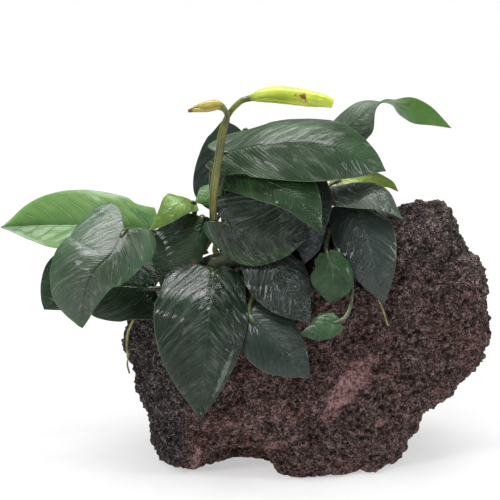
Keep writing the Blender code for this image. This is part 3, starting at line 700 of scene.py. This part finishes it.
# How each leaf looks: its colours in thousandths, then what is stronger or weaker than usual on it.
DARK = dict(
    colour=(20, 38, 20), dark=(5, 13, 5), painted_sheen_colour=(120, 145, 130), groove_and_shade=0.75, rim=0.35)
MID = dict(
    colour=(36, 76, 26), dark=(12, 32, 9), painted_sheen_colour=(240, 275, 235), groove_and_shade=0.6, rim=0.4)
BRIGHT = dict(
    colour=(85, 170, 40), dark=(50, 115, 24), painted_sheen_colour=(300, 370, 250), groove_and_shade=0.25)
LOOKS = {
    "leaf_far_left": dict(
        BRIGHT, dark=(56, 132, 30), veins=8, vein=0.1, relief=0.1, rib=0.35, rib_colour=(62, 124, 42),
        rim=0.75, rim_colour=(19, 48, 17), wet=0.05, painted_sparkle=0.0, painted_sheen=0.1, glow=0.25, rough=0.42,
        groove_and_shade=0.05, lines=0.01, grain=0.35, ribbed=0.08, along=((0.8, 1.05, (36, 89, 31)),),
        across=((-0.1, 0.95, (112, 210, 56)),), spots=(((0.4, 0.45), (0.1, 0.3), (45, 130, 40)),)),
    "leaf_heart_left": dict(
        MID, colour=(50, 78, 46), dark=(28, 50, 27), veins=7, vein=0.2, relief=0.2, rib=0.8,
        rib_colour=(16, 28, 14), painted_sheen=0.35, groove_and_shade=0.12, grain=0.5, ribbed=0.4,
        painted_sheen_colour=(271, 286, 271), rim=0.6, rim_colour=(76, 147, 65), wet=0.15, painted_sparkle=0.15, specks=0.8,
        rough=0.36, across=((0.35, 1.0, (39, 85, 39)), (-0.35, -1.0, (39, 85, 39)))),
    "leaf_low_left": dict(
        DARK, colour=(17, 52, 14), dark=(5, 19, 4), veins=8, vein=0.2, relief=0.12, wet=0.25,
        wet_spots=(((0.25, 0.2), (0.25, 0.9)),), painted_sparkle=0.45, rim=0.5, rough=0.34),
    "leaf_wet_left": dict(
        DARK, colour=(18, 50, 15), dark=(5, 18, 5), veins=8, wet=0.45,
        wet_spots=(((0.45, 0.35), (0.16, 0.55)),), painted_sparkle=0.9, rim=0.5, rim_colour=(84, 135, 38),
        spots=(((0.7, -0.6), (0.12, 0.5), (160, 60, 30)),)),
    "leaf_front": dict(
        DARK, colour=(18, 38, 20), dark=(4, 12, 5), veins=11, vein=0.6, relief=0.34,
        vein_colour=(50, 75, 52), rib_colour=(45, 70, 42), rib=0.35, painted_sparkle=0.8,
        wet_spots=(((0.91, -0.1), (0.05, 0.8)), ((0.7, -0.72), (0.14, 0.16)), ((0.42, 0.0), (0.12, 0.3))),
        # The two pale spots are painted highlights on the water near the tip and near one margin.
        spots=(((0.915, -0.1), (0.02, 0.3), (200, 250, 220)), ((0.7, -0.8), (0.1, 0.09), (130, 170, 140))),
        painted_sheen=0.55, painted_sheen_colour=(120, 150, 130), waves=1.3, groove_and_shade=0.85, rim=0.3,
        along=((0.7, 1.0, (8, 28, 8)),)),
    "leaf_centre": dict(
        DARK, colour=(40, 58, 42), dark=(12, 22, 13), veins=8, vein=0.25, painted_sheen=0.5, groove_and_shade=0.5, grain=0.8,
        painted_sheen_colour=(240, 275, 255), wet_spots=(((0.42, 0.25), (0.13, 0.6)),), rim=0.5,
        rim_colour=(63, 124, 47), across=((0.55, 1.1, (20, 56, 20)),)),
    "leaf_upper_centre": dict(
        MID, colour=(36, 92, 28), dark=(13, 43, 11), veins=8, vein=0.3, relief=0.14, wet=0.15,
        wet_spots=(((0.85, 0.1), (0.12, 0.7)),), painted_sparkle=0.5, rim=0.8, rim_colour=(122, 188, 86),
        # The darker tint towards the base is painted shade, where the leaf lies under leaf_top_large.
        painted_sheen=0.25, along=((0.2, 0.0, (8, 28, 8)),)),
    "leaf_top_large": dict(
        MID, colour=(40, 74, 36), dark=(16, 38, 13), veins=8, vein=0.25, relief=0.26, painted_sheen=0.36,
        groove_and_shade=0.22, grain=0.5, ribbed=0.5, painted_sheen_colour=(205, 226, 205), wet=0.1,
        wet_spots=(((0.93, -0.1), (0.02, 0.12)),), painted_sparkle=0.25, rim=0.4, rough=0.38, wave=0.7, waves=1.8,
        along=((0.72, 1.0, (30, 70, 32)),)),
    "leaf_back_left": dict(
        DARK, colour=(19, 39, 26), dark=(9, 22, 13), veins=7, wet=0.3, painted_sparkle=0.2),
    "leaf_twisted_right": dict(
        BRIGHT, colour=(82, 122, 76), dark=(45, 78, 44), veins=8, vein=0.25, relief=0.14, painted_sheen=0.6,
        painted_sheen_colour=(290, 320, 285), wet=0.05, painted_sparkle=0.05, rough=0.38, rib=0.8, rib_colour=(13, 34, 12),
        below=(135, 330, 60), waves=1.2,
        spots=(((0.9, -0.55), (0.06, 0.35), (60, 30, 10)), ((0.82, -0.8), (0.03, 0.2), (70, 40, 12)))),
    "leaf_flat_right": dict(
        # The pale grey-green colour and strong pale streaks are partly the leaf's own green and partly
        # painted reflection of the lights on its upturned face.
        MID, colour=(120, 145, 118), dark=(45, 65, 45), veins=7, painted_sheen=1.0, painted_sheen_colour=(460, 480, 470),
        wet=0.3, painted_sparkle=0.6, along=((0.75, 1.0, (60, 125, 55)),)),
    "leaf_yellow_right": dict(
        colour=(270, 330, 30), dark=(150, 215, 22), veins=6, vein=0.2, relief=0.1, painted_sheen=0.2, wet=0.05,
        painted_sparkle=0.0, glow=0.35, rim=0.7, rim_colour=(290, 321, 97), rough=0.4,
        spots=(((0.35, 0.2), (0.12, 0.5), (100, 120, 20)),)),
    "leaf_right": dict(
        DARK, colour=(32, 47, 42), dark=(10, 18, 14), veins=8, vein=0.3, painted_sheen=0.45,
        painted_sheen_colour=(105, 125, 130), wet=0.35, rim=0.45,
        # The near-black tint at the base is a painted shadow cast by leaf_flat_right above it.
        along=((0.1, -0.08, (4, 8, 5)), (0.6, 0.95, (32, 50, 45)))),
    "leaf_small_round": dict(
        MID, colour=(30, 83, 26), dark=(12, 42, 11), veins=6, vein=0.25, relief=0.12, wet=0.25, painted_sparkle=0.3,
        rim=0.6, rim_colour=(63, 134, 43)),
    "leaf_small_curled": dict(
        MID, colour=(36, 100, 31), dark=(17, 53, 15), veins=5, vein=0.2, relief=0.08, wet=0.15, painted_sparkle=0.3,
        rim=0.7, rim_colour=(87, 169, 62)),
    "leaf_wet_centre": dict(
        DARK, colour=(25, 36, 30), dark=(8, 17, 10), veins=8, vein=0.3, painted_sheen=0.6,
        painted_sheen_colour=(200, 235, 230), wet=0.9, painted_sparkle=1.0, wet_spots=(((0.55, 0.0), (0.3, 0.8)),),
        groove_and_shade=0.9),
    "leaf_low_centre": dict(
        DARK, colour=(30, 49, 40), dark=(16, 30, 22), veins=8, painted_sheen=0.35, painted_sheen_colour=(80, 101, 101),
        wet=0.35, painted_sparkle=0.25, rib=0.6, rib_colour=(13, 26, 14)),
    "leaf_young_left": dict(
        colour=(158, 262, 52), dark=(90, 180, 28), veins=6, vein=0.2, relief=0.1, painted_sheen=0.35,
        painted_sheen_colour=(358, 409, 266), wet=0.1, painted_sparkle=0.2, glow=0.3, rim=0.85, rim_colour=(423, 439, 260),
        below=(301, 332, 87), rough=0.34, along=((0.3, -0.05, (263, 288, 115)),)),
    "leaf_shaded_right": dict(
        # The blue-grey colour and pale streaks are partly the leaf's own green and partly painted reflection
        # of the lights on its upper face.
        DARK, colour=(75, 92, 105), dark=(20, 30, 32), veins=12, vein=0.4, painted_sheen=0.9,
        painted_sheen_colour=(300, 330, 370), wet=0.5, painted_sparkle=0.5),
    "leaf_young_centre": dict(
        BRIGHT, colour=(93, 185, 52), veins=5, vein=0.2, relief=0.08, wet=0.05, painted_sparkle=0.0, glow=0.25,
        rim=0.7, rim_colour=(214, 275, 112)),
    "leaf_shaded_centre": dict(
        DARK, colour=(14, 35, 14), dark=(5, 15, 6), veins=7, wet=0.2, painted_sparkle=0.2),
    "leaf_narrow_right": dict(
        MID, colour=(37, 50, 42), dark=(14, 24, 16), painted_sheen=0.8, painted_sheen_colour=(181, 192, 197), wet=0.3,
        painted_sparkle=0.3),
}
# The record's slot of each leaf.
SLOTS = {
    "leaf_bright": (
        "far_left", "twisted_right", "young_centre",
    ),
    "leaf_mid": (
        "heart_left", "upper_centre", "top_large", "flat_right", "small_round", "small_curled",
        "narrow_right",
    ),
    "leaf_dark": (
        "low_left", "wet_left", "front", "centre", "back_left", "right", "wet_centre", "low_centre",
        "shaded_right", "shaded_centre",
    ),
    "leaf_yellow": (
        "yellow_right", "young_left",
    ),
}
SLOT_OF = {"leaf_" + name: slot for slot, names in SLOTS.items() for name in names}

bpy.context.view_layer.update()
STALK = stalk_material("petiole_skin", (60, 80, 20), (20, 30, 9), 0.3)
for number, (name, leaf) in enumerate(LEAVES.items()):
    build_leaf(name, leaf, number + 1)

# --- Creeping stem ---


def build_rhizome():
    shares = np.linspace(0, 1, 150)
    path = smooth(RHIZOME_PATH, shares)

    def radius(share, turn):
        ring = abs(math.sin(math.pi * (share * 13 + 0.15 * math.sin(turn * 2))))
        return rhizome_radius(share) * (0.9 + 0.07 * ring ** 0.4)

    skin = stalk_material("rhizome_skin", (85, 100, 35), (30, 38, 16), 0.45, (70, 40, 20))
    tube_piece("rhizome_bark", "rhizome", "rhizome", skin, path, radius, 40, 5.0, 0.35)


# --- Flower and bud ---

FLOWER_STEM = (
    (0.25, -10),
    ((-15.5, -13.2, 100), 1.2), ((-15.5, -15.5, 110), 1.2), ((-15, -20, 121), 1.2),
    ((-13, -21, 134), 1.2), ((-11.5, -21, 144), 1.2), ((-8.5, -20, 151), 1.2),
    ((-4, -20, 156), 1.2), ((0, -20, 157.5), 1.4), ((4, -20, 158.5), 2.7), ((9, -20, 159), 3.6),
    ((16, -20, 158.5), 3.8), ((23, -20, 157.5), 3.5), ((29, -20, 156.5), 2.9), ((33, -20, 155.5), 2.0),
)
BUD_STEM = (
    (0.31, 15),
    ((-13.5, -17, 100), 1.1), ((-14.5, -19.5, 109), 1.1), ((-14, -23.5, 121), 1.2),
    ((-12, -25, 134), 1.2), ((-10.5, -25, 144), 1.2), ((-9, -24.5, 150), 1.1),
    ((-10, -24, 153.5), 1.2), ((-13, -24, 155.5), 2.2), ((-17, -24, 155), 2.4),
    ((-21, -24, 154), 1.6), ((-24.5, -24, 153), 0.5),
)


def build_flower(name, points, split, skin, bloom, slot):
    """The stalk up to the share split, and the rolled spathe or bud beyond it with its overlap."""
    (share, turn), points = points[0], points[1:]
    start, way = leave_rhizome(share, turn)
    places = [start, start + way * 2.0] + [point for point, _ in points]
    thick = [(1.4,), (1.2,)] + [(radius,) for _, radius in points]
    fine = np.linspace(0, 1, 241)
    path = smooth(places, fine)
    radii = smooth(thick, fine)[:, 0]
    cut = int(split * 240)

    def stalk_radius(part, turn):
        return radii[int(part * cut)] * (0.96 - 0.1 * max(0.0, math.cos(turn + part * 2)) ** 6)

    tube_piece(name + "_stalk", name, slot, skin, path[: cut + 1], stalk_radius, 18, 2.0, 0.06)

    def bloom_radius(part, turn):
        base = radii[cut - 2 + int(part * (242 - cut))]
        lap = (turn / (2 * math.pi) + 0.22 + 0.1 * math.sin(part * 4.5)) % 1.0
        roll = 0.13 * math.exp(-((lap - 0.5) / 0.1) ** 2) - 0.34 * math.exp(-((lap - 0.585) / 0.035) ** 2)
        ribs = 0.018 * math.cos(turn * 9)
        swell = min(1.0, part * 8) * min(1.0, (1.04 - part) * 6)
        return base * (0.93 + (roll + ribs) * swell)

    tube_piece(name + "_bloom", name, slot, bloom, path[cut - 2:], bloom_radius, 64, 4.0, 0.16)


def bloom_material(name, light, dark, edge, spots):
    """Spathe skin: fine lengthwise lines, a greener base and fold, and brown marks."""
    n = Nodes(name)
    place = n.object_place()
    along, over = n.shares()
    lines = n.noise(n.round_map(along, 3.0, over, 3.0), 3.0, 4, 0.7)
    mottle = n.noise(place, 120, 3, 0.6)
    fine = n.noise(place, 700, 3, 0.6)
    colour = n.mix(n.span(mottle, 0.3, 0.7), dark, light)
    colour = n.tint(colour, n.span(lines, 0.45, 0.7), 0.4, dark)
    colour = n.mix(n.span(along, 0.16, 0.0), colour, edge)
    for centre, size, tint in spots:
        away = n.add("VectorMath", operation="DISTANCE")
        n.link(place, away.inputs[0])
        away.inputs[1].default_value = [part * MM for part in centre]
        rough_edge = n.plus(away.outputs["Value"], n.times(n.minus(fine, 0.5), size * 2.2 * MM))
        colour = n.mix(n.span(rough_edge, size * MM, size * 0.5 * MM), colour, tint)
    height = n.plus(n.times(lines, 0.8), n.times(fine, 0.2))
    n.glow(0.25, (1.0, 1.0, 0.3), 0.002)
    return n.finish(
        colour, n.span(mottle, 0.3, 0.7, 0.32, 0.48), n.bump(height, 0.4, 0.0003),
        Coat_Weight=0.2, Coat_Roughness=0.15,
    )


# --- Stone ---

# Relief in millimetres and the sizes of what makes it.
STONE_VOXEL = 0.86
LUMP_HEIGHT = 1.35
CRUMB_HEIGHT = 1.45
PORE_DEPTH = 1.7
PORE_SIZES = ((3.4, 5.0), (2.1, 17.0))
PORE_REACH = 0.42
SUNK = 0.25


def stone_noise(points, scale, seed, octaves=3):
    shift = Vector((seed, seed * 0.7, seed * 1.3))
    return np.array([noise.fractal(Vector(point) / scale + shift, 0.9, 2.1, octaves) for point in points])


def build_stone():
    """The CAD stone made fine, then broken up with lumps, crumbs and open pores."""
    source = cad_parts["lava_rock"]
    mesh = source.data.copy()
    obj = in_scene("lava_rock_surface", mesh)
    mesh.materials.clear()
    voxel = obj.modifiers.new("fine", "REMESH")
    voxel.mode = "VOXEL"
    voxel.voxel_size = STONE_VOXEL * MM
    soften = obj.modifiers.new("soften", "SMOOTH")
    soften.iterations = 3
    soften.factor = 0.6
    graph = bpy.context.evaluated_depsgraph_get()
    made = bpy.data.meshes.new_from_object(obj.evaluated_get(graph))
    obj.modifiers.clear()
    obj.data = made
    count = len(made.vertices)
    points = np.empty(count * 3, np.float32)
    made.vertices.foreach_get("co", points)
    points = points.reshape(-1, 3) / MM
    normals = np.empty(count * 3, np.float32)
    made.vertex_normals.foreach_get("vector", normals)
    normals = normals.reshape(-1, 3)
    lumps = stone_noise(points, 7.0, 3.0, 3)
    crumbs = stone_noise(points, 2.6, 11.0, 3)
    smooth_patch = patch_mask(points)
    pores = np.zeros(count)
    for scale, seed in PORE_SIZES:
        shift = Vector((seed, seed, seed))
        for index, point in enumerate(points):
            near = noise.voronoi(Vector(point) / scale + shift)[0][0]
            pores[index] = max(pores[index], 1.0 - near / PORE_REACH)
    pores = pores * np.clip(0.55 + 1.6 * stone_noise(points, 9.0, 23.0, 2), 0, 1)
    rough = 1.0 - 0.8 * smooth_patch
    height = (LUMP_HEIGHT * lumps + CRUMB_HEIGHT * crumbs) * rough
    height = height - PORE_DEPTH * np.clip(pores, 0, 1) ** 0.8 * rough - SUNK
    on_floor = points[:, 2] < 1.2
    height = np.where(on_floor & (normals[:, 2] < -0.4), np.minimum(height, 0) * 0.6, height)
    moved = points + normals * height[:, None]
    moved[:, 2] = np.maximum(moved[:, 2], 0.0)
    low = np.array(cad_box[0]) / MM
    high = np.array(cad_box[1]) / MM
    moved = np.clip(moved, low + 0.01, high - 0.01)
    made.vertices.foreach_set("co", (moved * MM).astype(np.float32).ravel())
    raised = np.clip(0.5 + 0.9 * crumbs + 0.4 * lumps, 0, 1)
    keep_values(made, {"pore": np.clip(pores, 0, 1), "patch": smooth_patch, "raised": raised})
    adopt(obj, "lava_rock", stone_material())


def patch_mask(points):
    """Where the stone is broken smooth: a slanted patch low on the front and a ledge over the cave."""
    found = np.zeros(len(points))
    wobble = stone_noise(points, 5.0, 31.0, 2)
    for (x, z), (half_long, half_short), lean, strength in SMOOTH_PATCHES:
        angle = math.radians(lean)
        right = points[:, 0] - x
        up = points[:, 2] - z
        long_way = right * math.cos(angle) + up * math.sin(angle)
        short_way = -right * math.sin(angle) + up * math.cos(angle)
        far = np.sqrt((long_way / half_long) ** 2 + (short_way / half_short) ** 2) + 0.35 * wobble
        mask = strength * np.clip((1.15 - far) / 0.3, 0, 1) * (points[:, 1] < 0)
        found = np.maximum(found, mask)
    return found


# Smooth broken patches on the front: centre (x, z), half sizes, lean in degrees, how smooth.
SMOOTH_PATCHES = (
    ((40.0, 40.0), (15.0, 5.5), 48.0, 1.0),
    ((54.0, 25.0), (3.2, 2.2), 40.0, 0.7),
    ((-4.0, 25.5), (17.0, 2.2), 12.0, 0.45),
    ((14.0, 17.5), (11.0, 1.4), 24.0, 0.6),
    ((-22.5, 8.0), (8.0, 1.8), 80.0, 0.8),
)


def stone_material():
    """Lava: red-brown and charcoal, rust and a pink broken patch, with painted shade in the pits and pores
    and painted highlights on clump tips and raised grains.
    """
    n = Nodes("lava")
    place = n.object_place()
    x, y, z = n.parts(place)
    broad = n.noise(place, 28, 3, 0.6)
    middle = n.noise(place, 110, 4, 0.65)
    fine = n.noise(place, 620, 4, 0.7)
    grit = n.cells(place, 950).outputs["Color"]
    pore = n.attribute("pore")
    patch = n.attribute("patch")
    raised = n.attribute("raised")

    red = n.mix(n.span(middle, 0.35, 0.68), (92, 46, 42), (185, 88, 80))
    brown = n.mix(n.span(broad, 0.4, 0.62), red, (135, 80, 68))
    blush = n.times(n.span(n.noise(place, 62, 3, 0.65), 0.5, 0.62), n.span(z, 0.085, 0.035))
    brown = n.tint(brown, blush, 0.65, (225, 98, 88))
    high = n.times(n.span(z, 0.06, 0.105), n.span(x, 0.035, 0.06))
    brown = n.tint(brown, high, 0.8, (34, 28, 28))
    black = n.mix(n.span(middle, 0.35, 0.7), (26, 26, 29), (72, 70, 76))
    # The left end and the back of the left face are charcoal.
    left = n.plus(n.times(x, -1.0), n.times(n.minus(broad, 0.5), 0.03))
    left = n.plus(left, n.times(y, 0.35))
    colour = n.mix(n.span(left, 0.012, 0.024), brown, black)
    rusty = n.plus(n.math("ABSOLUTE", n.minus(x, -0.006)), n.math("ABSOLUTE", n.minus(z, 0.014)))
    colour = n.tint(colour, n.span(rusty, 0.026, 0.006), n.span(middle, 0.4, 0.6), (190, 75, 40))
    # Algae tinge high on the right.
    moss = n.times(n.span(z, 0.07, 0.1), n.span(x, 0.055, 0.085))
    moss = n.times(moss, n.span(middle, 0.45, 0.62))
    colour = n.tint(colour, moss, 0.55, (30, 42, 24))
    pink = n.mix(n.span(fine, 0.35, 0.7), (220, 105, 100), (420, 240, 235))
    colour = n.mix(patch, colour, pink)
    gravel = n.noise(place, 1350, 1, 0.5)
    clump = n.noise(place, 430, 2, 0.6)
    shade = n.plus(n.times(gravel, 0.62), n.times(clump, 0.38))
    calm = n.rest(n.times(patch, 0.6))
    # Painted shade: the low spots of the grain noise go almost black, as shade in the small pits between
    # clumps.
    pit_shade = n.times(n.span(shade, 0.48, 0.425), n.times(calm, 0.95))
    colour = n.mix(pit_shade, colour, (9, 6, 6))
    # Painted highlight: the high spots of the same noise go pale pink, as light on the clump tips.
    tip = n.times(n.span(shade, 0.53, 0.595), n.times(calm, 0.9))
    colour = n.mix(tip, colour, n.mix(0.55, colour, (500, 330, 305)))
    grains = n.parts(grit)
    # Painted highlight: pale grains kept to where the surface is raised, as light on the raised crumbs.
    bright = n.times(n.span(grains[0], 0.72, 0.8), n.span(raised, 0.35, 0.75))
    colour = n.tint(colour, bright, 0.5, (300, 220, 210))
    dark_grain = n.span(grains[1], 0.62, 0.72)
    colour = n.tint(colour, dark_grain, 0.6, (14, 10, 10))
    # Painted shade in the sunken pores, with dark flecks at random from fine noise.
    pore_shade_and_flecks = n.math("MAXIMUM", n.span(pore, 0.05, 0.45), n.span(fine, 0.42, 0.3))
    pore_shade_and_flecks = n.times(pore_shade_and_flecks, n.rest(n.times(patch, 0.8)))
    colour = n.tint(colour, pore_shade_and_flecks, 0.8, (8, 6, 6))

    small = n.cells(place, 620).outputs["Distance"]
    tiny = n.span(small, 0.0, 0.45)
    height = n.plus(n.times(tiny, 0.7), n.times(shade, 1.6))
    height = n.times(height, n.rest(n.times(patch, 0.65)))
    normal = n.bump(height, 1.0, 0.002)
    normal = n.bump(n.noise(place, 1900, 2, 0.6), 0.5, 0.0004, normal)
    rough = n.span(middle, 0.3, 0.7, 0.7, 0.95)
    return n.finish(colour, rough, normal, Specular_IOR_Level=0.35)


# --- Roots ---

ROOTS = {
    "root_left": ((0.0, -100), ((-42, -12, 74), (-51, -8, 58), (-54, -8, 46), (-56, -10, 37)), 0.8),
    "root_front_left": ((0.08, 120), ((-30, -30, 70), (-32, -37, 58), (-33, -40, 44)), 0.7),
    "root_front_right": ((1.0, 75), ((45, -22, 90), (52, -32, 78), (56, -38, 66)), 0.7),
    "root_back": ((0.45, -110), ((-2, 6, 92), (-4, 24, 84), (-6, 40, 66)), 0.8),
    "root_back_right": ((0.85, -62), ((34, 10, 106), (40, 30, 92), (44, 44, 70)), 0.8),
}


def build_root(name, leaving, points, radius, stone, seed):
    """A thin root from the creeping stem that lies on the stone."""
    start, way = leave_rhizome(*leaving)
    path = smooth([start + way * 1.2] + list(points), np.linspace(0, 1, 12))
    path = np.vstack([start, path])
    clear = radius + GAP + 0.65
    for _ in range(6):
        path[2:-1] = (path[1:-2] + 2 * path[2:-1] + path[3:]) / 4
        for index in range(2, len(path)):
            spot, normal, _, _ = stone.find_nearest(Vector(path[index]) * MM)
            spot = np.array(spot) / MM
            normal = np.array(normal)
            height = (path[index] - spot).dot(normal)
            if height < clear or height > clear + 0.3:
                path[index] = spot + normal * clear
    fine = smooth(path, np.linspace(0, 1, 90))

    def thickness(share, turn):
        return radius * (0.86 - 0.36 * share)

    tube_piece(name + "_strand", name, "root", ROOT, fine, thickness, 12, seed, 0.14)


# --- Assembly ---

build_rhizome()
build_flower(
    "flower_stem", FLOWER_STEM, 0.6,
    stalk_material("flower_stalk_skin", (150, 172, 8), (60, 75, 5), 0.42),
    bloom_material(
        "spathe_skin", (540, 620, 62), (350, 450, 38), (170, 240, 30),
        (((21.0, -23.5, 158.6), 2.0, (160, 65, 15)), ((18.2, -23.6, 159.4), 1.0, (300, 200, 30))),
    ),
    "spathe",
)
build_flower(
    "bud_stem", BUD_STEM, 0.715,
    stalk_material("bud_stalk_skin", (190, 195, 30), (80, 85, 16), 0.35),
    bloom_material(
        "bud_skin", (480, 390, 80), (300, 280, 45), (220, 240, 50),
        (((-24.0, -25, 153.2), 1.6, (100, 45, 20)),),
    ),
    "bud",
)
ROOT = stalk_material("root_skin", (420, 380, 140), (160, 150, 50), 0.45, (80, 60, 20))
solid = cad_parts["lava_rock"].data
surface = BVHTree.FromPolygons([v.co for v in solid.vertices], [tuple(f.vertices) for f in solid.polygons])
for number, (name, (leaving, points, radius)) in enumerate(ROOTS.items()):
    build_root(name, leaving, points, radius, surface, number * 3.7)
build_stone()

# --- Studio: floor, light and camera ---

bpy.ops.mesh.primitive_plane_add(size=12.0, location=(0, 0, -0.0002))
floor = bpy.context.object
floor.name = "floor"
paint = Nodes("floor_paint")
grain = paint.noise(paint.object_place(), 30, 3)
tone = paint.mix(paint.span(grain, 0.3, 0.7), (720, 720, 720), (750, 750, 750))
floor.data.materials.append(paint.finish(tone, 0.95, paint.bump(grain, 0.02, 0.0005), Specular_IOR_Level=0.0))


def add_light(name, kind, power, place, target, **settings):
    light = bpy.data.lights.new(name, kind)
    light.energy = power
    for key, value in settings.items():
        setattr(light, key, value)
    obj = in_scene(name, light)
    obj.location = place
    obj.rotation_euler = (Vector(target) - Vector(place)).to_track_quat("-Z", "Y").to_euler()
    return obj


def panel(name, place, height, size, power):
    """A rectangular soft light aimed at a point of this height on the middle line."""
    return add_light(
        name, "AREA", power, place, (0, 0, height), shape="RECTANGLE", size=size[0], size_y=size[1]
    )


def far_light(name, way, degrees, power):
    return add_light(name, "SUN", power, (0, 0, 0), way, angle=math.radians(degrees))


overhead = panel("overhead", (0.0, 0.16, 0.85), 0.08, (0.65, 0.42), 8.0)
panel("front_left", (-0.8, -0.9, 0.8), 0.07, (0.25, 0.25), 4.8)
panel("right", (0.95, -0.3, 0.5), 0.07, (0.12, 0.4), 2.6)
ceiling = far_light("ceiling", (0.22, -0.02, -1.0), 30, 2.1)

# Two lights that only the floor takes keep the shadow on it faint; one of them casts no shadow.
floor_fill = far_light("floor_fill", (0, 0, -1), 60, 2.4)
floor_soft = far_light("floor_soft", (0, 0, -1), 100, 1.3)
only_floor = bpy.data.collections.new("floor_only")
only_floor.objects.link(floor)
for lamp in (floor_fill, floor_soft):
    lamp.light_linking.receiver_collection = only_floor
floor_fill.light_linking.blocker_collection = only_floor
not_floor = bpy.data.collections.new("not_the_floor")
not_floor.objects.link(floor)
not_floor.collection_objects[0].light_linking.link_state = "EXCLUDE"
for lamp in (overhead, ceiling):
    lamp.light_linking.receiver_collection = not_floor

world = bpy.data.worlds.new("studio")
bpy.context.scene.world = world
world.use_nodes = True
white, strength = world.node_tree.nodes["Background"].inputs[:2]
white.default_value = (1, 1, 1, 1)
strength.default_value = 0.17

camera_data = bpy.data.cameras.new("camera")
camera_data.lens = 120
camera_data.sensor_width = 36
camera = in_scene("camera", camera_data)
camera.location = (0.0, -0.6761, 0.2708)
camera.rotation_euler = (math.radians(75), 0, 0)
bpy.context.scene.camera = camera
bpy.context.scene.view_settings.view_transform = "Standard"
